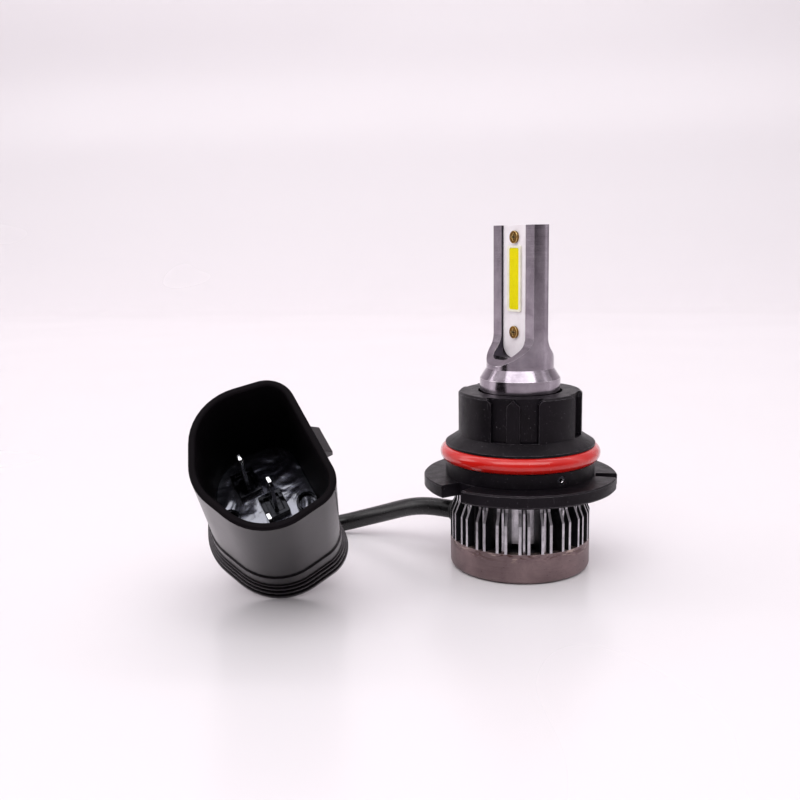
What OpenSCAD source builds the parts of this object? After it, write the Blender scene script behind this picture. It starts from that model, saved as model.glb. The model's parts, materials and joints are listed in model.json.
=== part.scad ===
// LED replacement bulb for a three-pin headlight socket, with its lead and plug.
// The bulb stands on its fan end. Its axis is Z, and the floor is z = 0.

/* [Tail and fan] */
// Outer radius of the tail ring and of the fins
tail_r = 16.6; // [16:0.1:17]
// Height of the tail ring
tail_h = 7.2; // [7.1:0.1:7.6]
// Rounding of the tail ring's bottom rim
tail_round = 1.4; // [0.6:0.1:1.4]
// Radius of the fan duct
duct_r = 12.3; // [12.2:0.1:12.5]
// Radius over the fan blades
fan_r = 11.7; // [11:0.1:11.8]
// Number of fan blades
fan_blades = 9; // [5:1:11]
// Radius of the fan shaft
shaft_r = 0.75; // [0.6:0.05:0.8]
// Running clearance of shaft and collar, on the radius
run_gap = 0.05; // [0.02:0.01:0.1]
// Radius of the circle that the three tail screws stand on
tail_screw_pitch_r = 13.7; // [13.6:0.1:13.8]

/* [Heat sink] */
// Number of fin groups, each of two wide fins and one narrow one
fin_groups = 20; // [12:1:20]
// Thickness of the wide fins
fin_t = 0.65; // [0.5:0.05:0.7]
// Thickness of the narrow middle fin
mid_fin_t = 0.5; // [0.4:0.05:0.6]
// Angle from a group's middle to each wide fin
fin_half_angle = 3.45; // [3:0.05:4]
// Direction of the first fin group
fin_turn = 4; // [0:1:18]
// Radius of the bright core between the fins
core_r = 11.4; // [11:0.1:11.5]
// Radius of the hollow for the driver
hollow_r = 9.8; // [9.5:0.1:9.8]
// Radius of the spigot that the collar turns on
spigot_r = 12; // [11.8:0.1:12.2]

/* [Collar] */
// Radius of the flange
flange_r = 22.8; // [22:0.1:23.5]
// Bottom of the flange
flange_z = 19.5; // [19.5:0.1:19.8]
// Thickness of the flange
flange_t = 3; // [2.6:0.1:3.2]
// Radius of the neck under the seal, and of the lip above it
neck_r = 17.6; // [17:0.1:18]
// Radius of the locating barrel
barrel_r = 14.5; // [14.3:0.05:14.7]
// Radius between the barrel's pads
barrel_core_r = 13.4; // [13:0.1:13.6]
// Top of the locating barrel
barrel_top = 42.3; // [40:0.1:43]
// Seal radius to the middle of its section
seal_r = 17; // [16.8:0.1:17]
// Radius of the seal's section
seal_section_r = 1.9; // [1.7:0.05:1.9]

/* [Column] */
// Radius of the column's shoulder
shoulder_r = 9.4; // [9:0.1:9.6]
// Radius of the column
column_r = 7.87; // [7.6:0.01:8.2]
// Top of the column
column_top = 80.5; // [78:0.5:82]
// Direction that the front board faces
board_turn = -142; // [-180:1:180]
// Distance from the axis to each flat
flat_x = 2.1; // [2:0.05:2.4]
// Half the thickness of the web between the pockets
web_x = 0.75; // [0.6:0.05:0.9]
// Half the width of each pocket
pocket_half_w = 4.5; // [4.2:0.1:4.7]
// Board thickness
board_t = 0.8; // [0.6:0.1:0.8]
// Length of the light strip
strip_l = 14.1; // [12:0.1:16]
// Width of the light strip
strip_w = 3.5; // [3:0.1:3.8]

/* [Lead and plug] */
// Radius of the lead
lead_r = 2.25; // [1.85:0.1:2.25]
// Length of the plug
plug_l = 40; // [38:0.5:42]
// Wall thickness of the plug
plug_wall = 1.5; // [1.2:0.1:1.8]
// How far the plug's rear flange stands out
rear_flange_out = 1.7; // [1.2:0.1:2]
// Height of the plug's rear flange
rear_flange_h = 5.5; // [5.5:0.1:6]
// Tilt of the plug about X, Y and Z
plug_tilt = [30.1, 45.9, -40.8];
// Where the middle of the plug's mouth is, seen from above
plug_place = [-45.1, -47.8];

/* [Hidden] */
$fn = 64;
eps = 0.01;

// Tail and fan levels
web_top = 1.6;
frame_r = tail_r - 1.65;
frame_top = tail_h - 0.1;
screw_r = 0.8;
screw_head_r = 1.15;
spoke_t = 1;
hub_plate_r = 5;
tube_r = 1.9;
sleeve_r = 1.45;
sleeve_bottom = web_top + 0.8;
sleeve_top = 6.3;
stator_bottom = 3;
stator_top = 5.2;
cup_r = 5.7;
cup_wall = 0.55;
cup_bottom = 3.1;
cup_top = 7.7;
blade_bottom = 3.2;
blade_top = 6.9;

// Heat sink levels
fin_z = tail_h;
fin_corner_z = 13.8;
fin_slope_r = tail_r - 1.2;
fin_slope_z = 16.6;
cap_bottom = 18.3;
cap_top = 19.4;
cap_r = 15.2;
core_bottom = 8.1;
hollow_top = 17;
spigot_top = 29;
stub_r = 6.5;
boss_r = 1.4;
lead_hole = [3.6, 1.5];
lead_hole_r = 0.7;
lead_wire_r = 0.55;
column_screw_r = 2;

// Cable exit, and the boss around it
cable_turn = 160.9;
cable_z = 11;
grommet_r = 2.7;

// Driver
driver_z = 11.6;
driver_t = 1;

// Column levels
shoulder_top = 45.3;
column_z = 47.7;
runout_z = 55.2;
runout_r = 4;
runout_angle = 50;
pocket_low = 49.9;
pocket_corner = 3.2;
board_face = web_x + board_t;
strip_z = 68.3;
board_screw_z = [56, 77.8];

// Collar levels
flange_top = flange_z + flange_t;
neck_top = 25.9;
groove_r = 15.05;
lip_z = 29.7;
lip_t = 0.5;
cone_top = 32.2;
mouth_r = 9.9;
barrel_bevel = 1.2;
// Each pad of the barrel, as its first and last angle
pads = [[156, 243], [287.1, 329.5], [348, 432], [440, 502]];
// The key in the front recess, as its first and last angle
key_span = [258.2, 269.9];
// Each notch of the flange, as its first and last angle
notches = [[219.3, 235.7], [348, 358], [105, 115]];
grub_turn = -58;
grub_z = 24.2;

// Plug outline: the circles that the D shape is drawn around
plug_side = [8.8, 0];
plug_side_r = 6.05;
plug_low = [3.85, -5.7];
plug_low_r = 11.8;
plug_bottom = [0, -8.3];
plug_bottom_r = 10.9;
insert_face = -29;
insert_t = 2;
boss_face = -27;
blade_tip = -13.5;
blade_w = 2.8;
blade_t = 0.8;
blade_at = [[-7.3, -8], [0, -4.7], [7.3, -8]];
cover_t = 1.5;
exit_at = [0, -4.5];
boot_l = 8;
boot_r = 3.7;

// The plug lies with the rim of its rear flange on the floor
tilt_row = [-sin(plug_tilt[1]), cos(plug_tilt[1]) * sin(plug_tilt[0]),
            cos(plug_tilt[1]) * cos(plug_tilt[0])];
rim_reach = norm([tilt_row[0], tilt_row[1]]);
function rim_low(c, r) =
    tilt_row * [c[0], c[1], -plug_l] - rim_reach * (r + rear_flange_out);
plug_z = -min(rim_low(plug_side, plug_side_r), rim_low(plug_low, plug_low_r),
              rim_low(plug_bottom, plug_bottom_r));

// Middle line of the lead, from the driver to the plug
lead_route = [
    [-8.8, 3.0, 11.0], [-12.3, 4.2, 11.0], [-15.7, 5.4, 11.1], [-19.2, 6.7, 11.2],
    [-22.7, 8.2, 11.1], [-26.1, 10.0, 10.5], [-29.4, 12.0, 9.4], [-32.7, 14.0, 8.0],
    [-36.1, 15.8, 6.6], [-39.6, 17.2, 5.3], [-43.1, 18.2, 4.1], [-46.7, 18.5, 3.1],
    [-50.2, 17.8, 2.6], [-53.4, 16.0, 2.4], [-55.8, 13.3, 2.3], [-57.2, 10.0, 2.3],
    [-57.8, 6.4, 2.3], [-57.9, 2.8, 2.3], [-57.7, -0.6, 2.4], [-57.3, -3.4, 3.0],
    [-56.9, -5.7, 4.3], [-56.5, -8.1, 6.1], [-56.1, -10.1, 7.6], [-55.7, -12.2, 9.2],
    [-55.2, -15.3, 11.5], [-54.6, -18.3, 13.9], [-54.0, -21.4, 16.3]
];

// Shared shapes

// Points along an arc about c
function arc_points(c, r, a0, a1, steps) =
    [for (k = [0:steps]) let (a = a0 + (a1 - a0) * k / steps) c + r * [cos(a), sin(a)]];

module tube(r_out, r_in, z0, z1) {
    difference() {
        translate([0, 0, z0]) cylinder(r = r_out, h = z1 - z0);
        translate([0, 0, z0 - 1]) cylinder(r = r_in, h = z1 - z0 + 2);
    }
}

module disc(r, z0, z1) {
    translate([0, 0, z0]) cylinder(r = r, h = z1 - z0);
}

// A solid sector between two angles, less than half a turn apart
module sector(a0, a1, r, z0, z1) {
    mid = (a0 + a1) / 2;
    far = r / cos((a1 - a0) / 4);
    translate([0, 0, z0]) linear_extrude(z1 - z0)
        polygon([[0, 0], far * [cos(a0), sin(a0)], far * [cos(mid), sin(mid)],
                 far * [cos(a1), sin(a1)]]);
}

module at_tail_screws() {
    for (a = [100, 220, 340]) rotate(a) translate([tail_screw_pitch_r, 0, 0]) children();
}

// Puts a shape made for the front board on the front or the rear of the column
module on_board_side(rear = false) {
    rotate(board_turn + (rear ? 180 : 0)) children();
}

module at_plug() {
    translate([plug_place[0], plug_place[1], plug_z]) rotate(plug_tilt) children();
}

// Tail ring and fan

module tail_ring() {
    color("#75625f") difference() {
        rotate_extrude($fn = 96) polygon(concat(
            arc_points([tail_r - tail_round, tail_round], tail_round, -90, 0, 6),
            [[tail_r, tail_h], [frame_r, tail_h], [frame_r, web_top],
             [duct_r, web_top], [duct_r, 0]]
        ));
        at_tail_screws() {
            disc(screw_r + 0.05, -1, tail_h);
            disc(screw_head_r + 0.15, -1, 0.7);
        }
    }
}

module fan_frame() {
    color("#26262a") difference() {
        union() {
            tube(frame_r, duct_r, web_top, frame_top);
            for (a = [0:90:270]) rotate(a + 45)
                translate([hub_plate_r - 0.25, -0.65, web_top])
                    cube([duct_r - hub_plate_r + 0.65, 1.3, spoke_t]);
            disc(hub_plate_r, web_top, sleeve_bottom);
            tube(tube_r, sleeve_r, sleeve_bottom - eps, sleeve_top + 0.1);
        }
        at_tail_screws() disc(screw_r + 0.05, 0, tail_h);
    }
}

module fan_circuit() {
    color("#1f6b3a") tube(4.7, tube_r, sleeve_bottom, sleeve_bottom + 0.4);
}

module stator_core() {
    color("#8d8f94") intersection() {
        union() {
            tube(2.5, tube_r, stator_bottom, stator_top);
            for (a = [0:90:270]) rotate(a) {
                translate([2.3, -0.4, stator_bottom])
                    cube([1.6, 0.8, stator_top - stator_bottom]);
                translate([3.8, -1.9, stator_bottom])
                    cube([1, 3.8, stator_top - stator_bottom]);
            }
        }
        disc(4.4, stator_bottom, stator_top);
    }
}

module stator_windings() {
    color("#b5622e") for (a = [0:90:270]) rotate(a) difference() {
        translate([2.7, -0.9, stator_bottom + 0.2])
            cube([1, 1.8, stator_top - stator_bottom - 0.4]);
        translate([2.6, -0.4, stator_bottom]) cube([1.2, 0.8, 3]);
    }
}

module bearing_sleeve() {
    color("#b58f4e") tube(sleeve_r, shaft_r + run_gap, sleeve_bottom, sleeve_top);
}

module fan_impeller() {
    color("#1b1b1e") difference() {
        union() {
            tube(cup_r, cup_r - cup_wall, cup_bottom, cup_top);
            disc(cup_r - 0.1, cup_top - 0.6, cup_top);
            intersection() {
                for (i = [0:fan_blades - 1]) rotate(i * 360 / fan_blades)
                    translate([fan_r / 2, 0, (blade_bottom + blade_top) / 2])
                        rotate([38, 0, 0]) cube([fan_r + 2, 0.5, 8], center = true);
                tube(fan_r, cup_r - 0.3, blade_bottom, blade_top);
            }
        }
        disc(shaft_r, 0, cup_top - 0.2);
    }
}

module rotor_magnet() {
    color("#3b3b40") tube(cup_r - cup_wall, 4.65, 3.3, 6.6);
}

module fan_shaft() {
    color("#c9ccd1") disc(shaft_r, sleeve_bottom + 0.15, cup_top - 0.2);
}

module tail_screws() {
    color("#9a9da3") at_tail_screws() difference() {
        union() {
            disc(screw_head_r, 0.05, 0.7);
            disc(screw_r, 0.6, 12.5);
        }
        for (a = [0, 90]) rotate(a)
            translate([-0.6, -0.15, -0.4]) cube([1.2, 0.3, 0.8]);
    }
}

// Heat sink and driver

module wide_fin() {
    rotate([90, 0, 0]) translate([0, 0, -fin_t / 2]) linear_extrude(fin_t)
        polygon([[core_r - 0.3, fin_z], [tail_r, fin_z], [tail_r, fin_corner_z],
                 [fin_slope_r, fin_slope_z], [fin_slope_r, cap_bottom + 0.1],
                 [core_r - 0.3, cap_bottom + 0.1]]);
}

module middle_fin() {
    rotate([90, 0, 0]) translate([0, 0, -mid_fin_t / 2]) linear_extrude(mid_fin_t)
        polygon([[core_r - 0.3, fin_z], [fin_slope_r, fin_z], [fin_slope_r, 16.4],
                 [fin_slope_r - 0.9, cap_bottom + 0.1],
                 [core_r - 0.3, cap_bottom + 0.1]]);
}

module heat_sink() {
    color("#2a2a2e") difference() {
        union() {
            disc(core_r, core_bottom, cap_bottom + 0.1);
            disc(cap_r, cap_bottom, cap_top);
            disc(spigot_r, cap_bottom, spigot_top);
            for (i = [0:fin_groups - 1])
                rotate(fin_turn - 90 + i * 360 / fin_groups) {
                    rotate(fin_half_angle) wide_fin();
                    rotate(-fin_half_angle) wide_fin();
                    middle_fin();
                }
            at_tail_screws() disc(boss_r, fin_z, cap_bottom + 0.1);
            rotate(cable_turn) translate([core_r - 0.6, 0, cable_z])
                rotate([0, 90, 0]) cylinder(r = grommet_r + 1, h = 15.8 - core_r);
        }
        disc(hollow_r, core_bottom - 1, hollow_top);
        disc(stub_r, cap_top, spigot_top + 1);
        disc(column_screw_r + 0.1, hollow_top - 1, cap_top + 1);
        at_tail_screws() disc(screw_r, fin_z - 1, 12.6);
        on_board_side() for (x = [-1, 1], y = [-1, 1])
            translate([x * lead_hole[1], y * lead_hole[0], 0])
                disc(lead_hole_r, hollow_top - 1, cap_top + 1);
        rotate(cable_turn) translate([hollow_r - 2, 0, cable_z])
            rotate([0, 90, 0]) cylinder(r = grommet_r, h = 12);
    }
}

module driver_cover() {
    color("#303034") disc(hollow_r - 0.05, core_bottom, core_bottom + 0.8);
}

module driver_board() {
    color("#1f6b3a") difference() {
        disc(8.8, driver_z + 0.4, driver_z + 0.4 + driver_t);
        rotate(cable_turn) translate([6, -2.4, 0]) cube([5, 4.8, 20]);
    }
}

module driver_inductor() {
    color("#55565c") translate([5.2, 2.6, 0])
        tube(2.3, 0.9, driver_z + 0.4 + driver_t, driver_z + 2.9 + driver_t);
}

module driver_capacitors() {
    color("#6d6f78") for (p = [[4.4, 3.6], [-0.6, 5.9]]) translate([p[0], p[1], 0])
        disc(1.5, driver_z - 1.7, driver_z + 0.4);
}

module driver_chips() {
    color("#18181a") for (p = [[-4.2, -3.6, 3, 2.2], [-2.4, -7.2, 3, 2]])
        translate([p[0], p[1], driver_z + 0.4 + driver_t]) cube([p[2], p[3], 0.9]);
}

module column_screw() {
    color("#b9bcc2") difference() {
        union() {
            disc(3, hollow_top - 1.9, hollow_top);
            disc(column_screw_r, hollow_top - 0.5, 25.4);
        }
        translate([0, 0, hollow_top - 3]) cylinder(r = 1.2, h = 2.3, $fn = 6);
    }
}

// Column and boards

// What one flat, its run-out and its pocket take away from the column
module board_cut() {
    wide = 2 * shoulder_r + 4;
    out = column_r + 1.1;
    arc_x = flat_x + runout_r;
    tip = [arc_x - runout_r * cos(runout_angle), runout_z - runout_r * sin(runout_angle)];
    low = tip[1] - (out - tip[0]) / tan(runout_angle);
    rotate([90, 0, 0]) translate([0, 0, -wide / 2]) linear_extrude(wide) polygon(concat(
        [[out + 3, column_top + 1], [flat_x, column_top + 1]],
        arc_points([arc_x, runout_z], runout_r, 180, 180 + runout_angle, 8),
        [[out, low], [out + 3, low]]
    ));
    slot(pocket_half_w, pocket_low, column_top + 1, 12);
}

// A slot with rounded lower corners, standing on the web between the pockets
module slot(half_w, low, high, depth) {
    corner = pocket_corner - (pocket_half_w - half_w);
    translate([web_x, 0, 0]) rotate([90, 0, 90]) linear_extrude(depth) polygon(concat(
        arc_points([half_w - corner, low + corner], corner, -90, 0, 8),
        [[half_w, high], [-half_w, high]],
        arc_points([corner - half_w, low + corner], corner, 180, 270, 8)
    ));
}

module lamp_column() {
    color("#9a8f98") difference() {
        union() {
            disc(stub_r, cap_top + 0.05, spigot_top + 0.1);
            disc(shoulder_r, spigot_top, shoulder_top);
            translate([0, 0, shoulder_top])
                cylinder(r1 = shoulder_r, r2 = column_r, h = column_z - shoulder_top);
            disc(column_r, column_z - eps, column_top);
        }
        on_board_side() board_cut();
        on_board_side(rear = true) board_cut();
        disc(column_screw_r, cap_top - 1, 26);
        on_board_side() {
            for (x = [-1, 1], y = [-1, 1])
                translate([x * lead_hole[1], y * lead_hole[0], 0])
                    disc(lead_hole_r, cap_top - 1, 53);
            for (z = board_screw_z) translate([-5, 0, z]) rotate([0, 90, 0])
                cylinder(r = screw_r, h = 10);
        }
    }
}

module led_leads() {
    color("#2a1f21") on_board_side() for (x = [-1, 1], y = [-1, 1])
        translate([x * lead_hole[1], y * lead_hole[0], 0])
            disc(lead_wire_r, driver_z + 0.4 + driver_t, pocket_low + 0.4);
}

module led_board() {
    gap = 0.05;
    difference() {
        intersection() {
            slot(pocket_half_w - gap, pocket_low + gap, column_top, board_t);
            disc(column_r - gap, 0, column_top);
        }
        for (z = board_screw_z) translate([0, 0, z]) rotate([0, 90, 0])
            cylinder(r = screw_r, h = 10);
    }
}

module led_board_front() {
    color("#dfd3d7") on_board_side() led_board();
}

module led_board_rear() {
    color("#dfd3d7") on_board_side(rear = true) led_board();
}

// A bar with round ends, standing on the board
module rounded_bar(w, l, t) {
    translate([board_face, 0, strip_z]) rotate([0, 90, 0]) linear_extrude(t)
        offset(r = 0.5, $fn = 24) square([l - 1, w - 1], center = true);
}

module silicone_dam() {
    difference() {
        rounded_bar(strip_w + 1.4, strip_l + 1, 0.45);
        translate([-0.1, 0, 0]) rounded_bar(strip_w, strip_l, 2);
    }
}

module phosphor_strip() {
    gap = 0.02;
    rounded_bar(strip_w - gap, strip_l - gap, 0.35);
}

module silicone_dam_front() {
    color("#f1ecd0") on_board_side() silicone_dam();
}

module silicone_dam_rear() {
    color("#f1ecd0") on_board_side(rear = true) silicone_dam();
}

module phosphor_strip_front() {
    color("#e5d708") on_board_side() phosphor_strip();
}

module phosphor_strip_rear() {
    color("#e5d708") on_board_side(rear = true) phosphor_strip();
}

module board_screws() {
    color("#b08a3e") on_board_side() for (z = board_screw_z) translate([0, 0, z])
        rotate([0, 90, 0]) difference() {
            union() {
                disc(1.45, board_face, board_face + 0.6);
                disc(screw_r, -web_x, board_face + 0.1);
            }
            for (a = [0, 90]) rotate(a)
                translate([-0.75, -0.17, board_face + 0.25]) cube([1.5, 0.34, 1]);
        }
}

module board_nuts() {
    color("#b08a3e") on_board_side(rear = true) for (z = board_screw_z)
        translate([0, 0, z]) rotate([0, 90, 0]) difference() {
            union() {
                disc(1.45, board_face, board_face + 0.6);
                disc(screw_r, web_x, board_face + 0.1);
            }
            translate([-1.6, -0.17, board_face + 0.25]) cube([3.2, 0.34, 1]);
        }
}

// Collar and seal

module adapter_collar() {
    color("#2f2c35") difference() {
        union() {
            rotate_extrude($fn = 96) polygon([
                [mouth_r - 1, flange_z], [flange_r - 0.4, flange_z],
                [flange_r, flange_z + 0.4], [flange_r, flange_top - 0.3],
                [flange_r - 0.3, flange_top], [neck_r, flange_top],
                [neck_r, neck_top], [groove_r, neck_top], [groove_r, lip_z],
                [neck_r, lip_z], [neck_r, lip_z + lip_t], [barrel_r, cone_top],
                [barrel_core_r, cone_top], [barrel_core_r, barrel_top],
                [mouth_r - 1, barrel_top]
            ]);
            intersection() {
                rotate_extrude($fn = 96) polygon([
                    [barrel_core_r - 1, cone_top - 0.2], [barrel_r, cone_top - 0.2],
                    [barrel_r, barrel_top - 0.5], [barrel_r - 0.5, barrel_top],
                    [barrel_core_r - 1, barrel_top]
                ]);
                for (p = pads) barrel_pad(p[0], p[1]);
            }
            intersection() {
                tube(barrel_r - 0.1, barrel_core_r - 1, cone_top - 0.2, barrel_top);
                barrel_key();
            }
        }
        disc(mouth_r, flange_z - 1, barrel_top + 1);
        disc(spigot_r + run_gap, flange_z - 1, spigot_top + 0.3);
        for (n = notches) difference() {
            sector(n[0], n[1], flange_r + 1, flange_z - 1, flange_top + eps);
            disc(neck_r + 0.2, flange_z - 2, flange_top + 1);
        }
        rotate(grub_turn) translate([spigot_r - 1, 0, grub_z]) rotate([0, 90, 0])
            cylinder(r = 1, h = 8);
    }
}

// A pad with its two top corners cut off
module barrel_pad(a0, a1) {
    bevel_angle = barrel_bevel / barrel_r * 180 / PI;
    mid = (a0 + a1) / 2;
    for (s = [[a0, mid, 1], [mid, a1, -1]])
        sector(s[0], s[1], barrel_r + 1, cone_top - 0.2, barrel_top - barrel_bevel);
    for (k = [0.25, 0.5, 0.75, 1]) {
        cut = bevel_angle * k;
        for (s = [[a0 + cut, mid], [mid, a1 - cut]])
            sector(s[0], s[1], barrel_r + 1, barrel_top - barrel_bevel - eps,
                   barrel_top - barrel_bevel * (1 - k));
    }
}

// The key between the front pads, with a pointed top
module barrel_key() {
    mid = (key_span[0] + key_span[1]) / 2;
    half = barrel_r * tan((key_span[1] - key_span[0]) / 2);
    point = barrel_top - 0.2;
    rotate(mid) rotate([90, 0, 90]) translate([0, 0, barrel_core_r - 1])
        linear_extrude(3)
            polygon([[-half, cone_top - 0.2], [half, cone_top - 0.2],
                     [half, point - 1.5], [0, point], [-half, point - 1.5]]);
}

module o_ring() {
    color("#cd322d") rotate_extrude($fn = 96)
        translate([seal_r, neck_top + seal_section_r]) circle(r = seal_section_r);
}

module collar_grub_screw() {
    color("#c9ccd1") rotate(grub_turn) translate([spigot_r + 0.2, 0, grub_z])
        rotate([0, 90, 0]) difference() {
            cylinder(r = 1, h = neck_r - spigot_r - 0.4);
            translate([0, 0, neck_r - spigot_r - 1.6]) cylinder(r = 0.5, h = 2, $fn = 6);
        }
}

// Lead and plug

module cable_grommet() {
    straight = tail_r - hollow_r - 0.6;
    color("#1e1e20") rotate(cable_turn) translate([hollow_r + 0.05, 0, cable_z])
        rotate([0, 90, 0]) difference() {
            union() {
                cylinder(r = grommet_r, h = straight);
                translate([0, 0, straight])
                    cylinder(r1 = grommet_r, r2 = lead_r + 0.3, h = 1.6);
            }
            translate([0, 0, -1]) cylinder(r = lead_r, h = 12);
        }
}

function unit(v) = v / norm(v);
function lead_heading(i) =
    unit(lead_route[min(i + 1, len(lead_route) - 1)] - lead_route[max(i - 1, 0)]);
function lead_ring(i, sides) =
    let (t = lead_heading(i), s = unit(cross([0, 0, 1], t)), u = cross(t, s))
    [for (k = [0:sides - 1])
        lead_route[i] + lead_r * (cos(360 * k / sides) * s + sin(360 * k / sides) * u)];

module power_cable() {
    sides = 12;
    rings = len(lead_route);
    points = [for (i = [0:rings - 1]) each lead_ring(i, sides)];
    walls = [for (i = [0:rings - 2], k = [0:sides - 1])
        let (a = i * sides + k, b = i * sides + (k + 1) % sides)
        each [[a + sides, b, a], [a + sides, b + sides, b]]];
    caps = [[for (k = [0:sides - 1]) k],
            [for (k = [0:sides - 1]) rings * sides - 1 - k]];
    color("#28262b") polyhedron(points, concat(walls, caps));
}

module cable_strain_relief() {
    color("#1e1e20") at_plug() translate([exit_at[0], exit_at[1], -plug_l - boot_l])
        difference() {
            cylinder(r1 = lead_r + 0.5, r2 = boot_r, h = boot_l);
            translate([0, 0, -1]) cylinder(r = lead_r, h = boot_l + 2);
        }
}

// Direction of the line that touches two of the outline's circles on the right
function touch_angle(c1, r1, c2, r2) =
    let (d = c2 - c1) atan2(d[1], d[0]) + acos((r1 - r2) / norm(d));

// The D-shaped outline, grown by out: five arcs joined by straight sides that touch them
module plug_outline(out = 0) {
    side = touch_angle(plug_side, plug_side_r, plug_low, plug_low_r);
    low = touch_angle(plug_low, plug_low_r, plug_bottom, plug_bottom_r);
    polygon(concat(
        arc_points(plug_low, plug_low_r + out, low, side, 10),
        arc_points(plug_side, plug_side_r + out, side, 90, 14),
        arc_points([-plug_side[0], plug_side[1]], plug_side_r + out, 90, 180 - side, 14),
        arc_points([-plug_low[0], plug_low[1]], plug_low_r + out, 180 - side, 180 - low, 10),
        arc_points(plug_bottom, plug_bottom_r + out, 180 - low, 360 + low, 8)
    ));
}

module plug_band(out, z0, z1) {
    translate([0, 0, z0]) linear_extrude(z1 - z0) plug_outline(out);
}

module plug_shell() {
    flange_low = -plug_l;
    flange_high = -plug_l + rear_flange_h;
    color("#232026") at_plug() {
        difference() {
            union() {
                plug_band(0, -plug_l, 0);
                plug_band(0.35, -plug_l, flange_high + 4.5);
                // Ridges that step in towards the mouth, and the grooves between them
                for (i = [0:3])
                    plug_band(rear_flange_out - 0.35 * i, flange_low + 1.6 * i,
                              min(flange_low + 1.6 * i + 1.1, flange_high));
                for (i = [0:2])
                    plug_band(rear_flange_out - 0.35 * i - 0.55, flange_low + 0.2,
                              flange_low + 1.6 * i + 1.7);
            }
            plug_band(-plug_wall, -plug_l - 1, 1);
        }
        lock_ramp();
        insert_ledge();
    }
}

// The wedge that locks the plug, on its flat side
module lock_ramp() {
    translate([-3.1, plug_side_r - 0.4, 0]) rotate([90, 0, 90]) linear_extrude(6.2)
        polygon([[0, -9], [3, -9], [3, -7.4], [0.9, -4.8], [0, -4.8]]);
}

// The ledge inside the shell that the terminal insert rests against
module insert_ledge() {
    difference() {
        plug_band(-plug_wall + 0.1, insert_face - insert_t - 1.2, insert_face - insert_t);
        plug_band(-plug_wall - 1, insert_face - insert_t - 2, insert_face);
    }
}

module terminal_insert() {
    color("#1a1a1f") at_plug() difference() {
        union() {
            plug_band(-plug_wall - 0.02, insert_face - insert_t, insert_face);
            for (p = blade_at) translate([p[0] - 2.9, p[1] - 2.6, insert_face - eps])
                cube([5.8, 5.2, boss_face - insert_face]);
            translate([2.6, 2, insert_face - eps]) tube(2.4, 1.8, 0, 1.2);
            translate([-1.5, -14.4, insert_face - eps]) tube(2.2, 1.5, 0, 1.2);
        }
        for (p = blade_at) {
            translate([p[0] - 2, p[1] - 1.6, boss_face - 1.2]) cube([4, 3.2, 2]);
            translate([p[0] - blade_w / 2, p[1] - blade_t / 2, insert_face - 5])
                cube([blade_w, blade_t, 8]);
        }
    }
}

module blade_terminals() {
    color("#d6d8dc") at_plug() for (p = blade_at) translate([p[0], p[1], 0])
        rotate([90, 0, 0]) translate([0, 0, -blade_t / 2]) linear_extrude(blade_t)
            polygon([
                [-blade_w / 2, -34.5], [blade_w / 2, -34.5],
                [blade_w / 2, blade_tip - 1], [blade_w / 2 - 0.7, blade_tip],
                [-blade_w / 2 + 0.7, blade_tip], [-blade_w / 2, blade_tip - 1]
            ]);
}

module plug_rear_cover() {
    color("#1d1d20") at_plug() difference() {
        plug_band(-plug_wall - 0.02, -plug_l, -plug_l + cover_t);
        translate([exit_at[0], exit_at[1], -plug_l - 1]) cylinder(r = lead_r, h = 5);
    }
}

tail_ring();
fan_frame();
fan_circuit();
stator_core();
stator_windings();
bearing_sleeve();
fan_impeller();
rotor_magnet();
fan_shaft();
tail_screws();
heat_sink();
driver_cover();
driver_board();
driver_inductor();
driver_capacitors();
driver_chips();
column_screw();
lamp_column();
led_leads();
led_board_front();
led_board_rear();
silicone_dam_front();
silicone_dam_rear();
phosphor_strip_front();
phosphor_strip_rear();
board_screws();
board_nuts();
adapter_collar();
o_ring();
collar_grub_screw();
cable_grommet();
power_cable();
cable_strain_relief();
plug_shell();
terminal_insert();
blade_terminals();
plug_rear_cover();
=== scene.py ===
"""Looks of the LED headlight bulb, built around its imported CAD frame. Metres, +Z up."""
import json
from math import cos, degrees, exp, pi, radians, sin

import bmesh
import bpy
from mathutils import Matrix, Vector


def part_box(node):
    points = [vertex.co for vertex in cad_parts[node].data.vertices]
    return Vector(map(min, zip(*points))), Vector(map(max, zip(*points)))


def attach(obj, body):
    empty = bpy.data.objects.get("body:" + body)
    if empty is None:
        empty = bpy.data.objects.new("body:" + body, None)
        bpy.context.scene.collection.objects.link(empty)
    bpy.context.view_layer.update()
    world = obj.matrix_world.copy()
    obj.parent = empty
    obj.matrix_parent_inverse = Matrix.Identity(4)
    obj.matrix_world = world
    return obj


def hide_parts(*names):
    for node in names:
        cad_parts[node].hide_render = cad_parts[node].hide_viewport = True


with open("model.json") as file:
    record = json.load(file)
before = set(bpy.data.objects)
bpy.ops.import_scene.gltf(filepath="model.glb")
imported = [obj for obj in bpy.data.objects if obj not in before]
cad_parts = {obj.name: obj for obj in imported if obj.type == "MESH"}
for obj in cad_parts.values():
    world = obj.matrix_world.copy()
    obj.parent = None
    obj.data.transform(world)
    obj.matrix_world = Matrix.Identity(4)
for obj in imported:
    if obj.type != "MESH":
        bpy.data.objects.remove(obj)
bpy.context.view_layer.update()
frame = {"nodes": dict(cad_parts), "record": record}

MM = 0.001
scene = bpy.context.scene
scene.view_settings.view_transform = "Standard"


# ---------------------------------------------------------------- camera

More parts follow.
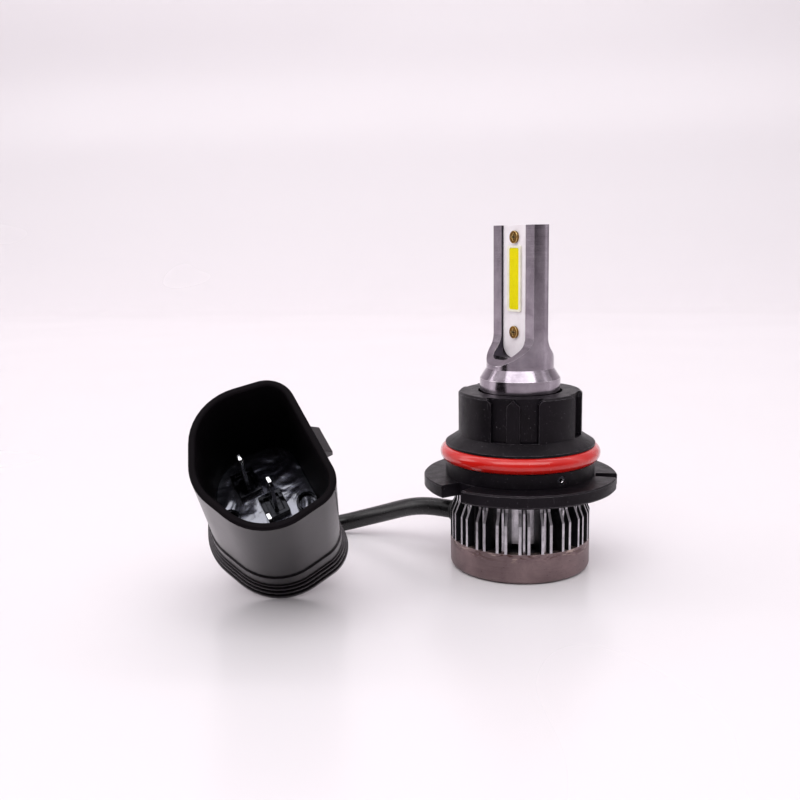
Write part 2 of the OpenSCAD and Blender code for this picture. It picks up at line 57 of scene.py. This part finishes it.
def add_camera():
    """The camera stands in front of the bulb, turned a little left and down."""
    yaw, pitch, roll = radians(-7.27), radians(9.76), radians(-0.99)
    forward = Vector((sin(yaw) * cos(pitch), cos(yaw) * cos(pitch), -sin(pitch)))
    right = Vector((cos(yaw), -sin(yaw), 0))
    up = right.cross(forward)
    level_right = cos(roll) * right + sin(roll) * up
    level_up = -sin(roll) * right + cos(roll) * up
    data = bpy.data.cameras.new("camera")
    data.sensor_width = 36
    data.lens = 42.93
    data.clip_start = 0.01
    data.clip_end = 20
    camera = bpy.data.objects.new("camera", data)
    turn = Matrix((level_right, level_up, -forward)).transposed()
    camera.matrix_world = Matrix.Translation((0, -0.2239, 0.0785)) @ turn.to_4x4()
    scene.collection.objects.link(camera)
    scene.camera = camera


add_camera()


# ---------------------------------------------------------------- materials

NOISE_LOW, NOISE_HIGH = 0.3, 0.7


class Shader:
    """A small builder for one material's nodes."""

    def __init__(self, name, **sockets):
        self.material = bpy.data.materials.new(name)
        self.material.use_nodes = True
        self.tree = self.material.node_tree
        self.bsdf = self.tree.nodes["Principled BSDF"]
        for socket, value in sockets.items():
            self.bsdf.inputs[socket.replace("_", " ")].default_value = value
        self.place = self.tree.nodes.new("ShaderNodeTexCoord").outputs["Object"]

    def node(self, kind, inputs=None, **settings):
        made = self.tree.nodes.new("ShaderNode" + kind)
        for key, value in settings.items():
            setattr(made, key, value)
        for key, value in (inputs or {}).items():
            if isinstance(value, bpy.types.NodeSocket):
                self.tree.links.new(value, made.inputs[key])
            else:
                made.inputs[key].default_value = value
        return made

    def scaled(self, scale):
        """The place, stretched by three factors."""
        return self.node("Mapping", {"Vector": self.place, "Scale": scale}).outputs[0]

    def noise(self, scale, detail=3, rough=0.55, where=None, distortion=0.0):
        """Noise whose scale is in features per metre."""
        inputs = {"Vector": where or self.place, "Scale": scale, "Detail": detail,
                  "Roughness": rough, "Distortion": distortion}
        return self.node("TexNoise", inputs).outputs["Fac"]

    def spread(self, value, low, high, to_low=0.0, to_high=1.0):
        """Maps a value from low..high to to_low..to_high, clamped."""
        inputs = {"Value": value, "From Min": low, "From Max": high,
                  "To Min": to_low, "To Max": to_high}
        return self.node("MapRange", inputs).outputs[0]

    def between(self, noise, low=0.0, high=1.0):
        """Maps the usual range of noise to low..high."""
        return self.spread(noise, NOISE_LOW, NOISE_HIGH, low, high)

    def math(self, kind, a, b=0.0, c=0.0):
        return self.node("Math", {0: a, 1: b, 2: c}, operation=kind).outputs[0]

    def mix(self, amount, a, b):
        """A colour between a and b."""
        mixed = self.node("Mix", data_type="RGBA")
        for index, value in ((0, amount), (6, a), (7, b)):
            if isinstance(value, bpy.types.NodeSocket):
                self.tree.links.new(value, mixed.inputs[index])
            else:
                mixed.inputs[index].default_value = value
        return mixed.outputs[2]

    def face_value(self, name):
        """A number that the mesh keeps for each face."""
        return self.node("Attribute", attribute_name=name).outputs["Fac"]

    def set(self, socket, value):
        self.tree.links.new(value, self.bsdf.inputs[socket])

    def bump(self, height, strength, distance, below=None):
        inputs = {"Height": height, "Strength": strength, "Distance": distance}
        if below:
            inputs["Normal"] = below
        made = self.node("Bump", inputs).outputs[0]
        self.set("Normal", made)
        return made


def rgb(red, green, blue):
    """An sRGB colour of 0 to 255 as a linear one."""
    def linear(value):
        value /= 255
        return value / 12.92 if value <= 0.04045 else ((value + 0.055) / 1.055) ** 2.4
    return (linear(red), linear(green), linear(blue), 1)


def moulded_plastic(name, dark, light, edge, rough, grain=0.25, scuffs=0.3, specks=0.0, shine=0.5,
                    ripple=0.1, patchy=0.07, matt=None):
    """Satin moulded plastic: fine grain, cloudy gloss, faint scuffs and paler edges.
    Faces marked dull have the shine named matt."""
    s = Shader(name, Specular_IOR_Level=shine, Specular_Tint=(1.0, 0.90, 0.97, 1))
    clouds = s.noise(160, 5, 0.6)
    streaks = s.noise(1.0, 4, 0.6, s.scaled((2600, 700, 400)), 0.6)
    scuff = s.spread(streaks, 0.64, 0.78, 0, scuffs)
    colour = s.mix(s.between(clouds), dark, light)
    colour = s.mix(scuff, colour, edge)
    dust = s.spread(s.noise(3200, 2, 0.5), 0.70, 0.76, 0, specks)
    colour = s.mix(dust, colour, edge)
    # Rounded edges take the edge colour in patches: wear, and on the collar, whose edge colour is
    # pale, also a painted highlight.
    patches = s.spread(s.noise(900, 3), 0.35, 0.65, 0.15, 1.0)
    edge_wear_and_glint = s.math("MULTIPLY", s.face_value("edge"), patches)
    s.set("Base Color", s.mix(edge_wear_and_glint, colour, edge))
    gloss = s.between(s.noise(500, 3), rough - patchy, rough + patchy)
    if matt is not None:
        dull = s.face_value("dull")
        gloss = s.math("MULTIPLY_ADD", dull, 0.4, gloss)
        s.set("Specular IOR Level", s.spread(dull, 0, 1, shine, matt))
    s.set("Roughness", gloss)
    fine = s.bump(s.noise(7000, 2, 0.6), grain, 0.00004)
    s.bump(s.noise(300, 2), ripple, 0.0001, fine)
    return s.material


def glossy_moulding():
    """Wet-looking black plastic with slow ripples left by the mould. Dull faces are matt."""
    s = Shader("gloss_black_plastic", Coat_Roughness=0.14, Coat_IOR=1.9,
               Specular_Tint=(0.74, 0.74, 1.0, 1), Coat_Tint=(0.92, 0.92, 1.0, 1))
    dull = s.face_value("dull")
    glossy = s.mix(s.between(s.noise(300, 3)), rgb(6, 6, 9), rgb(22, 22, 32))
    s.set("Base Color", s.mix(dull, glossy, rgb(3, 3, 4)))
    s.set("Roughness", s.between(s.noise(500, 4), 0.12, 0.24))
    s.set("Coat Weight", s.spread(dull, 0, 1, 1.0, 0.08))
    s.set("Specular IOR Level", s.spread(dull, 0, 1, 1.0, 0.12))
    slow = s.bump(s.noise(130, 2.5, 0.5, None, 0.6), 0.6, 0.0013)
    s.bump(s.noise(1500, 3), 0.35, 0.00008, slow)
    s.tree.links.new(slow, s.bsdf.inputs["Coat Normal"])
    return s.material


def turned_metal(name, dark, light, rough, lines=(60, 60, 9000), depth=0.12, painted_shade=None,
                 edge_wear_and_glint=(0.80, 0.76, 0.79, 1)):
    """Machined metal: fine tool lines, faint stains, and rounded edges in a colour for wear
    and, on the brass heads, a painted highlight. Faces marked for shade get painted shade."""
    s = Shader(name, Metallic=1.0)
    tool = s.noise(1.0, 4, 0.7, s.scaled(lines))
    stain = s.noise(220, 4, 0.6, None, 0.3)
    colour = s.mix(s.spread(stain, 0.35, 0.7), dark, light)
    colour = s.mix(s.spread(tool, 0.35, 0.75, 0, 0.5), colour, light)
    if painted_shade:
        colour = s.mix(s.face_value("painted_shade"), colour, painted_shade)
    s.set("Base Color", s.mix(s.face_value("edge"), colour, edge_wear_and_glint))
    s.set("Roughness", s.between(tool, rough - 0.04, rough + 0.06))
    s.bump(tool, depth, 0.00002)
    return s.material


def fin_metal():
    """Black anodised fins whose cut edges and core are bare metal."""
    s = Shader("fin_metal")
    bare = s.face_value("bare")
    tool = s.noise(1.0, 3, 0.6, s.scaled((300, 300, 5000)))
    stain = s.noise(500, 4, 0.6)
    black = s.mix(s.between(stain), rgb(16, 16, 18), rgb(34, 34, 38))
    metal = s.mix(s.between(stain), rgb(176, 172, 178), rgb(226, 222, 227))
    s.set("Base Color", s.mix(bare, black, metal))
    s.set("Metallic", s.spread(bare, 0, 1, 0.15, 1.0))
    s.set("Roughness", s.between(tool, 0.27, 0.42))
    s.bump(tool, 0.3, 0.00003)
    return s.material


def tail_metal():
    """Brown-grey anodised ring, brushed round, with rubbed spots on its top edge."""
    s = Shader("tail_metal", Metallic=0.85)
    brushed = s.noise(1.0, 4, 0.7, s.scaled((40, 40, 12000)))
    cloud = s.noise(120, 5, 0.65, None, 0.4)
    colour = s.mix(s.between(cloud), rgb(106, 88, 90), rgb(142, 121, 122))
    colour = s.mix(s.spread(brushed, 0.4, 0.8, 0, 0.35), colour, rgb(165, 146, 146))
    height = s.node("SeparateXYZ", {0: s.place}).outputs[2]
    near_top = s.spread(height, 0.0050, 0.0068)
    chips = s.spread(s.noise(1.0, 5, 0.7, s.scaled((380, 380, 1300))), 0.55, 0.61)
    rubbed = s.math("MULTIPLY", near_top, chips)
    colour = s.mix(s.math("MULTIPLY", rubbed, 0.8), colour, rgb(196, 176, 166))
    rust = s.spread(s.noise(1.0, 4, 0.7, s.scaled((260, 260, 900)), 0.8), 0.52, 0.60, 0, 0.8)
    colour = s.mix(s.math("MULTIPLY", near_top, rust), colour, rgb(74, 46, 42))
    pits = s.spread(s.noise(1.0, 4, 0.6, s.scaled((900, 900, 2600))), 0.64, 0.70, 0, 0.6)
    colour = s.mix(pits, colour, rgb(62, 46, 44))
    s.set("Base Color", s.mix(s.face_value("edge"), colour, rgb(178, 160, 158)))
    s.set("Roughness", s.between(brushed, 0.36, 0.50))
    s.bump(brushed, 0.2, 0.00002)
    return s.material


def rubber(name, colour, rough, lines=(1, 1, 1), coat=0.0):
    s = Shader(name, Coat_Weight=coat, Coat_Roughness=0.12, Specular_IOR_Level=0.35)
    darker = tuple(c * 0.78 for c in colour[:3]) + (1,)
    s.set("Base Color", s.mix(s.between(s.noise(300, 4)), darker, colour))
    s.set("Roughness", s.between(s.noise(900, 3), rough - 0.05, rough + 0.07))
    fine = s.bump(s.noise(5200, 2), 0.15, 0.00003)
    s.bump(s.noise(1.0, 3, 0.6, s.scaled(lines)), 0.2, 0.00006, fine)
    return s.material


def seal_rubber():
    """Smooth red silicone with a skin that shines, and a little dust."""
    s = Shader("red_silicone", Coat_Weight=0.7, Coat_Roughness=0.07, Specular_IOR_Level=0.3)
    tone = s.mix(s.between(s.noise(120, 2)), rgb(196, 20, 12), rgb(208, 26, 18))
    dust = s.spread(s.noise(2400, 1, 0.5), 0.76, 0.80, 0, 0.5)
    s.set("Base Color", s.mix(dust, tone, rgb(238, 120, 110)))
    s.set("Roughness", s.between(s.noise(500, 3), 0.20, 0.28))
    s.bump(s.noise(160, 1), 0.04, 0.0001)
    return s.material


def glow_strip():
    """Yellow phosphor silicone: granular, slightly domed in tone, a little translucent."""
    s = Shader("glow_strip", Subsurface_Weight=0.1, Subsurface_Scale=0.0004,
               Specular_IOR_Level=0.05)
    grain = s.noise(5200, 3, 0.7)
    colour = s.mix(s.between(grain), rgb(220, 204, 0), rgb(240, 228, 4))
    patch = s.spread(s.noise(520, 3), 0.35, 0.7, 0, 0.35)
    s.set("Base Color", s.mix(patch, colour, rgb(246, 236, 20)))
    s.set("Roughness", s.between(grain, 0.34, 0.5))
    s.bump(grain, 0.25, 0.00004)
    return s.material


def board_white():
    """White solder mask with a faint cloudy tone."""
    s = Shader("board_white", Coat_Weight=0.2, Coat_Roughness=0.15)
    cloud = s.noise(380, 4)
    s.set("Base Color", s.mix(s.between(cloud), rgb(238, 230, 234), rgb(249, 244, 247)))
    s.set("Roughness", s.between(s.noise(1500, 3), 0.28, 0.42))
    s.bump(s.noise(2600, 3), 0.12, 0.00004)
    return s.material


def circuit_green():
    """Green solder mask with copper tracks under it."""
    s = Shader("circuit_green", Coat_Weight=0.4, Coat_Roughness=0.1)
    tracks = s.node("TexBrick", {"Vector": s.place, "Scale": 420.0, "Color1": (0, 0, 0, 1),
                                 "Color2": (0, 0, 0, 1), "Mortar": (1, 1, 1, 1)})
    s.set("Base Color", s.mix(tracks.outputs[1], rgb(14, 74, 38), rgb(40, 120, 66)))
    s.set("Roughness", s.between(s.noise(900, 3), 0.3, 0.42))
    s.bump(tracks.outputs[1], 0.2, 0.00003)
    return s.material


DARK_EDGE = (70, 65, 72)
# Slot: darker colour, lighter colour, colour of rounded edges (wear; on the collar also a painted
# highlight), roughness, other settings
PLASTICS = {
    "black_plastic": ((12, 12, 14), (20, 20, 23), DARK_EDGE, 0.48, {}),
    "ferrite": ((30, 30, 34), (48, 48, 52), DARK_EDGE, 0.55, {}),
    "chip_plastic": ((18, 18, 20), (26, 26, 29), DARK_EDGE, 0.5, {}),
    # The collar's pale edge colour stands for wear and a painted highlight on its rounded edges.
    "collar_plastic": ((9, 7, 10), (18, 15, 20), (165, 158, 166), 0.40,
                       {"grain": 0.7, "scuffs": 0.1, "specks": 0.35, "shine": 0.15}),
    "plug_plastic": ((5, 3, 5), (9, 6, 9), (40, 34, 39), 0.25,
                     {"grain": 0.03, "scuffs": 0.0, "shine": 0.36, "ripple": 0.0,
                      "patchy": 0.015, "matt": 0.08}),
}
# Slot: darker colour, lighter colour, roughness, other settings
METALS = {
    "motor_steel": ((120, 122, 126), (170, 172, 176), 0.4, {"lines": (60, 60, 16000)}),
    "copper_wire": ((150, 82, 44), (206, 128, 78), 0.3, {"depth": 0.9}),
    "bronze_bearing": ((150, 122, 74), (190, 160, 100), 0.38, {}),
    # On the grub screw, the shade colour paints the whole screw darker: painted shade.
    "bright_steel": ((150, 152, 158), (214, 216, 222), 0.25, {"painted_shade": rgb(52, 52, 58)}),
    "capacitor_can": ((120, 122, 134), (168, 170, 182), 0.3, {}),
    # The shade colour darkens the stem's pocket walls and floors: painted shade.
    "polished_aluminium": ((130, 120, 130), (168, 159, 168), 0.15,
                           {"painted_shade": rgb(66, 62, 70)}),
    # Brass heads: slots get painted shade, and the bright gold rounded rims stand for wear plus a
    # painted highlight.
    "brass_screw": ((72, 46, 18), (156, 114, 50), 0.2,
                    {"lines": (900, 900, 900), "painted_shade": rgb(34, 22, 10),
                     "edge_wear_and_glint": rgb(244, 214, 150)}),
    "tinned_blade": ((190, 192, 198), (236, 238, 242), 0.2, {}),
}
# Slot: colour, roughness, other settings
RUBBERS = {
    "black_wire": ((26, 12, 12), 0.35, {}),
    "pale_silicone": ((250, 246, 226), 0.38, {}),
    "black_rubber": ((14, 13, 15), 0.5, {}),
    "cable_sheath": ((13, 11, 13), 0.30, {"lines": (500, 500, 500), "coat": 0.15}),
}
LOOKS = {
    "bronze_anodised": tail_metal(),
    "black_anodised": fin_metal(),
    "red_silicone": seal_rubber(),
    "yellow_phosphor": glow_strip(),
    "white_board": board_white(),
    "green_circuit": circuit_green(),
    "gloss_black_plastic": glossy_moulding(),
}
for slot, (dark, light, edge, rough, other) in PLASTICS.items():
    LOOKS[slot] = moulded_plastic(slot, rgb(*dark), rgb(*light), rgb(*edge), rough, **other)
for slot, (dark, light, rough, other) in METALS.items():
    LOOKS[slot] = turned_metal(slot, rgb(*dark), rgb(*light), rough, **other)
for slot, (colour, rough, other) in RUBBERS.items():
    LOOKS[slot] = rubber(slot, rgb(*colour), rough, **other)
SLOT_OF = {part["node"]: part["material_slot"] for part in frame["record"]["subparts"]}
BODY_OF = {node: body for body, nodes in frame["record"]["behaviour"]["bodies"].items()
           for node in nodes}


def dress(piece, slot):
    """Gives a piece the look of a slot, and nothing else."""
    piece.data.materials.clear()
    piece.data.materials.append(LOOKS[slot])


def keep_node(node):
    """A CAD node that is shown as it is gets its slot's look."""
    piece = frame["nodes"][node]
    dress(piece, SLOT_OF[node])
    piece.data.set_sharp_from_angle(angle=radians(35))


def adopt(piece, node, body=None):
    """A finished piece stands for a CAD node: it rides, replaces it and takes its finish."""
    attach(piece, body or BODY_OF[node])
    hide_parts(node)
    dress(piece, SLOT_OF[node])
    return piece


def new_piece(name, bm):
    mesh = bpy.data.meshes.new(name)
    bm.to_mesh(mesh)
    bm.free()
    piece = bpy.data.objects.new(name, mesh)
    scene.collection.objects.link(piece)
    return piece


# ---------------------------------------------------------------- cord

LEAD_R = 2.25 * MM
# The lead's middle line in millimetres, from where it leaves the heat sink to the plug
LEAD_ROUTE = [
    (-15.7, 5.4, 11.1), (-19.2, 6.7, 11.2), (-22.7, 8.2, 11.1), (-26.1, 10.0, 10.5),
    (-29.4, 12.0, 9.4), (-32.7, 14.0, 8.0), (-36.1, 15.8, 6.6), (-39.6, 17.2, 5.3),
    (-43.1, 18.2, 4.1), (-46.7, 18.5, 3.1), (-50.2, 17.8, 2.6), (-53.4, 16.0, 2.4),
    (-55.8, 13.3, 2.3), (-57.2, 10.0, 2.3), (-57.8, 6.4, 2.3), (-57.9, 2.8, 2.3),
    (-57.7, -0.6, 2.4), (-57.3, -3.4, 3.0), (-56.9, -5.7, 4.3), (-56.5, -8.1, 6.1),
    (-56.1, -10.1, 7.6), (-55.7, -12.2, 9.2), (-55.2, -15.3, 11.5), (-54.6, -18.3, 13.9),
    (-54.0, -21.4, 16.3),
]


def smooth_route(points, steps):
    """A Catmull-Rom curve through the points."""
    knots = [Vector(p) * MM for p in points]
    ends = [2 * knots[0] - knots[1]] + knots + [2 * knots[-1] - knots[-2]]
    curve = []
    for i in range(1, len(ends) - 2):
        a, b, c, d = ends[i - 1:i + 3]
        for k in range(steps):
            t = k / steps
            curve.append(0.5 * (2 * b + (c - a) * t + (2 * a - 5 * b + 4 * c - d) * t ** 2
                                + (3 * b - a - 3 * c + d) * t ** 3))
    return curve + [knots[-1]]


def relaxed(path, rounds):
    """The same path with its small wobbles evened out. Its ends stay."""
    for _ in range(rounds):
        path = [path[0]] + [(path[i - 1] + 2 * path[i] + path[i + 1]) / 4
                            for i in range(1, len(path) - 1)] + [path[-1]]
    return path


def tube_mesh(path, radius, sides):
    """A closed round tube along a path."""
    bm = bmesh.new()
    rings = []
    for i, point in enumerate(path):
        heading = (path[min(i + 1, len(path) - 1)] - path[max(i - 1, 0)]).normalized()
        side = Vector((0, 0, 1)).cross(heading).normalized()
        over = heading.cross(side)
        rings.append([bm.verts.new(point + radius * (cos(2 * pi * k / sides) * side
                                                     + sin(2 * pi * k / sides) * over))
                      for k in range(sides)])
    for a, b in zip(rings, rings[1:]):
        for k in range(sides):
            bm.faces.new((a[k], a[(k + 1) % sides], b[(k + 1) % sides], b[k]))
    bm.faces.new(reversed(rings[0]))
    bm.faces.new(rings[-1])
    for face in bm.faces:
        face.smooth = len(face.verts) == 4
    return bm


lead_path = relaxed(smooth_route(LEAD_ROUTE, 5), 3)
lead = adopt(new_piece("lead", tube_mesh(lead_path, LEAD_R, 32)), "power_cable")


# ---------------------------------------------------------------- refined nodes

# Vertices this near are one, and faces that turn by less than this are one
SAME_PLACE, FLAT = 2e-6, radians(0.5)
# The angle, in degrees, above which an edge is drawn sharp
SHARP_EDGE = 30
SHARP = {"lamp_column": 17}


def refined(node, width, segments=2, corner=28, rim=None):
    """A copy of a CAD node's mesh with its edges rounded, which stands for the node.
    rim is (a point, an axis, a width): edges in that plane are rounded by that width."""
    bm = bmesh.new()
    bm.from_mesh(frame["nodes"][node].data)
    bmesh.ops.remove_doubles(bm, verts=bm.verts, dist=SAME_PLACE)
    bmesh.ops.dissolve_limit(bm, angle_limit=FLAT, verts=bm.verts, edges=bm.edges)
    edge_layer = bm.faces.layers.float.new("edge")
    if rim:
        point, axis, rim_width = rim
        loop = [e for e in bm.edges if e.calc_face_angle(0) > radians(corner)
                and all(abs((v.co - point).dot(axis)) < 0.02 * MM for v in e.verts)]
        bmesh.ops.bevel(bm, geom=loop, offset=rim_width * MM, offset_type="OFFSET", segments=5,
                        profile=0.5, affect="EDGES", clamp_overlap=True)
    if width:
        edges = [e for e in bm.edges if len(e.link_faces) == 2
                 and e.calc_face_angle() > radians(corner) and e.is_convex]
        made = bmesh.ops.bevel(bm, geom=edges, offset=width * MM, offset_type="OFFSET",
                               segments=segments, profile=0.5, affect="EDGES",
                               clamp_overlap=True)
        for face in made["faces"]:
            face[edge_layer] = 1.0
    for face in bm.faces:
        face.smooth = True
    for edge in bm.edges:
        edge.smooth = edge.calc_face_angle(pi) < radians(SHARP.get(node, SHARP_EDGE))
    piece = new_piece(node + "_finished", bm)
    weighted = piece.modifiers.new("weighted_normals", "WEIGHTED_NORMAL")
    weighted.keep_sharp = True
    return adopt(piece, node)


def seal_ring():
    """The seal as a smooth torus with the thin ridge where its mould parted."""
    low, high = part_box("o_ring")
    thick = (high.z - low.z) / 2
    middle_r, middle_z = high.x - thick, (high.z + low.z) / 2
    around, section = 192, 72
    bm = bmesh.new()
    rows = []
    for i in range(around):
        turn = 2 * pi * i / around
        row = []
        for k in range(section):
            angle = 2 * pi * k / section
            from_ridge = (degrees(angle) + 22 + 180) % 360 - 180
            r = thick * (0.985 + 0.014 * exp(-(from_ridge / 4) ** 2))
            reach = middle_r + r * cos(angle)
            row.append(bm.verts.new((reach * cos(turn), reach * sin(turn),
                                     middle_z + r * sin(angle))))
        rows.append(row)
    for i in range(around):
        a, b = rows[i], rows[(i + 1) % around]
        for k in range(section):
            n = (k + 1) % section
            bm.faces.new((a[k], b[k], b[n], a[n])).smooth = True
    return adopt(new_piece("o_ring_finished", bm), "o_ring")


def mark_faces(piece, name, test):
    """Keeps, for each face of a piece, whether its centre and normal pass a test."""
    layer = piece.data.attributes.new(name, "FLOAT", "FACE")
    layer.data.foreach_set("value", [float(test(p.center / MM, p.normal))
                                     for p in piece.data.polygons])


def lathe_cut(centre, normal):
    """Faces of the heat sink's fins and core that look away from the axis are bare metal.
    The sloped ends of the fins are less so."""
    reach = centre.xy.length
    out = normal.xy.dot(centre.xy) / max(reach, 1e-6)
    if centre.z > 18.2 or reach < 11 or out < 0.55:
        return 0
    return 0.45 if normal.z > 0.25 else 1


def matt_mouth(centre, normal):
    """The rim and the inner wall of the plug's mouth, which the mould left matt."""
    from_mouth = centre * MM - PLUG_MOUTH
    along = from_mouth.dot(PLUG_AXIS)
    inward = normal.dot(from_mouth - along * PLUG_AXIS) < 0
    wall = inward and along > -29.2 * MM and abs(normal.dot(PLUG_AXIS)) < 0.3
    return abs(along) < 0.7 * MM or wall


def raised_boss(centre, normal):
    """The square sockets that stand up from the plug's inner floor."""
    return (centre * MM - PLUG_MOUTH).dot(PLUG_AXIS) > -28.9 * MM


def whole_piece(centre, normal):
    """Every face, as on the grub screw, which is coloured with painted shade all over; its
    rounded edges stay bright.
    """
    return True


# The ways the front board faces and lies across
BOARD_FACING = Vector((cos(radians(-142)), sin(radians(-142)), 0))
BOARD_SIDE = Vector((-BOARD_FACING.y, BOARD_FACING.x, 0))


def milled_pocket(centre, normal):
    """Walls and floors of the stem's two pockets, which get painted shade."""
    deep = abs(centre.dot(BOARD_FACING))
    aside = abs(centre.dot(BOARD_SIDE))
    floor = deep < 0.9 and aside < 4.4
    wall = aside < 4.6 and deep < 6.9 and abs(normal.dot(BOARD_FACING)) < 0.2
    return centre.z > 49.6 and (floor or wall) and normal.z < 0.99


def driver_slot(centre, normal):
    """Walls and floors of the slots in the brass screws' heads, which get painted shade."""
    return abs(centre.dot(BOARD_FACING)) < HEAD_TOP - 0.08 and abs(centre.dot(BOARD_SIDE)) < 0.8


# How far the tops of the brass heads stand from the stem's middle, in millimetres
HEAD_TOP = max(abs(p.center.dot(BOARD_FACING))
               for p in frame["nodes"]["board_screws"].data.polygons) / MM
# The middle of the plug's mouth, and the way it faces
PLUG_MOUTH = Vector((-45.1, -47.8, 39.616)) * MM
PLUG_AXIS = Vector((0.1426, -0.7856, 0.6021))
# Node: a point and an axis of a plane whose edges get this width of rounding instead
RIMS = {"plug_shell": (PLUG_MOUTH, PLUG_AXIS, 0.6)}
# Node: width of its rounded edges in millimetres, and how many facets round them
REFINED = {
    "tail_ring": (0.15, 2), "heat_sink": (0.05, 1), "adapter_collar": (0.2, 2),
    "lamp_column": (0.12, 2), "led_board_front": (0.05, 1), "led_board_rear": (0.05, 1),
    "silicone_dam_front": (0.12, 2), "silicone_dam_rear": (0.12, 2),
    "phosphor_strip_front": (0.10, 2), "phosphor_strip_rear": (0.10, 2),
    "board_screws": (0.06, 2), "board_nuts": (0.06, 2), "plug_shell": (0.12, 2),
    "terminal_insert": (0.15, 2), "blade_terminals": (0.12, 2), "plug_rear_cover": (0.2, 2),
    "cable_grommet": (0.15, 2), "cable_strain_relief": (0.2, 2), "fan_frame": (0.12, 2),
    "fan_impeller": (0.08, 1), "tail_screws": (0.08, 1), "collar_grub_screw": (0.06, 1),
}
pieces = {"o_ring": seal_ring()}
for refined_node, (bevel, facets) in REFINED.items():
    pieces[refined_node] = refined(refined_node, bevel, facets, rim=RIMS.get(refined_node))
# Faces marked for shade get painted shade: the stem's pockets, the grub screw and the screw and
# nut slots.
for marked_node, mark, test in (
        ("heat_sink", "bare", lathe_cut), ("lamp_column", "painted_shade", milled_pocket),
        ("collar_grub_screw", "painted_shade", whole_piece), ("board_screws", "painted_shade", driver_slot),
        ("board_nuts", "painted_shade", driver_slot), ("terminal_insert", "dull", raised_boss),
        ("plug_shell", "dull", matt_mouth)):
    mark_faces(pieces[marked_node], mark, test)
for plain_node in frame["nodes"]:
    if plain_node not in REFINED and plain_node not in ("power_cable", "o_ring"):
        keep_node(plain_node)


# ---------------------------------------------------------------- stage and light

def add_sweep():
    """A pale floor that curves up into a pale wall behind the object."""
    bm = bmesh.new()
    wall_y, bend, height, half_width = 1.1, 0.35, 1.6, 2.2
    profile = [(-2.2, 0.0), (wall_y - bend, 0.0)]
    profile += [(wall_y - bend + bend * sin(a), bend - bend * cos(a))
                for a in (radians(90 * k / 12) for k in range(1, 13))]
    profile.append((wall_y, height))
    left = [bm.verts.new((-half_width, y, z)) for y, z in profile]
    right = [bm.verts.new((half_width, y, z)) for y, z in profile]
    for i in range(len(profile) - 1):
        bm.faces.new((left[i], right[i], right[i + 1], left[i + 1])).smooth = True
    sweep = new_piece("sweep", bm)
    s = Shader("sweep_paper")
    depth = s.node("SeparateXYZ", {0: s.place}).outputs[1]
    # The paper is lighter towards the wall behind and darker towards the front: a painted
    # fall-off of light, with slow random tone on top.
    tone = s.math("MULTIPLY_ADD", s.noise(1.5, 2), 0.1, s.spread(depth, -0.1, 0.75))
    s.set("Base Color", s.mix(tone, (0.795, 0.76, 0.785, 1), (0.88, 0.845, 0.868, 1)))
    s.set("Roughness", s.between(s.noise(4, 2), 0.22, 0.28))
    sweep.data.materials.append(s.material)


def add_light(name, place, target, size, power, colour):
    data = bpy.data.lights.new(name, "AREA")
    data.shape = "RECTANGLE"
    data.size, data.size_y = size
    data.energy = power
    data.color = colour
    lamp = bpy.data.objects.new(name, data)
    lamp.location = place
    lamp.rotation_euler = (Vector(target) - Vector(place)).to_track_quat("-Z", "Y").to_euler()
    scene.collection.objects.link(lamp)


def add_world():
    """A pale room, darker on the camera's side and on the right, and brighter overhead."""
    world = bpy.data.worlds.new("room")
    world.use_nodes = True
    tree = world.node_tree

    def node(kind, values, source=None, **settings):
        made = tree.nodes.new("ShaderNode" + kind)
        for key, value in settings.items():
            setattr(made, key, value)
        for key, value in values.items():
            made.inputs[key].default_value = value
        if source:
            tree.links.new(source, made.inputs[0])
        return made

    direction = node("TexCoord", {}).outputs["Generated"]
    parts = node("SeparateXYZ", {}, direction).outputs
    front = node("MapRange", {"From Min": -1.0, "From Max": -0.1, "To Min": 0.12,
                              "To Max": 0.74}, parts[1]).outputs[0]
    above = node("MapRange", {"From Min": 0.25, "From Max": 0.8, "To Min": 0.0,
                              "To Max": 0.35}, parts[2]).outputs[0]
    right = node("MapRange", {"From Min": 0.15, "From Max": 0.85, "To Min": 0.0,
                              "To Max": -0.26}, parts[0]).outputs[0]
    total = node("Math", {}, front, operation="ADD")
    tree.links.new(above, total.inputs[1])
    total = node("Math", {}, total.outputs[0], operation="ADD")
    tree.links.new(right, total.inputs[1])
    back = tree.nodes["Background"]
    back.inputs[0].default_value = (0.97, 0.92, 0.96, 1)
    tree.links.new(total.outputs[0], back.inputs[1])
    scene.world = world


add_sweep()
add_world()
# Place, target, size in metres, power in watts, colour
LIGHTS = {
    "softbox": ((0.02, -0.42, 0.60), (0, 0, 0.03), (0.95, 0.42), 3.3, (0.975, 1.0, 0.99)),
    "left_window": ((-0.80, -0.10, 0.30), (0, 0, 0.03), (0.35, 0.5), 1.0, (1.0, 0.97, 0.98)),
    "right_strip": ((0.55, 0.05, 0.25), (0, 0, 0.04), (0.12, 0.5), 0.12, (0.98, 0.98, 1.0)),
    "backdrop_wash": ((-0.35, 0.30, 0.9), (-0.35, 1.1, 0.3), (2.2, 0.4), 6.2,
                      (1.0, 0.965, 0.99)),
}
for light_name, settings in LIGHTS.items():
    add_light(light_name, *settings)
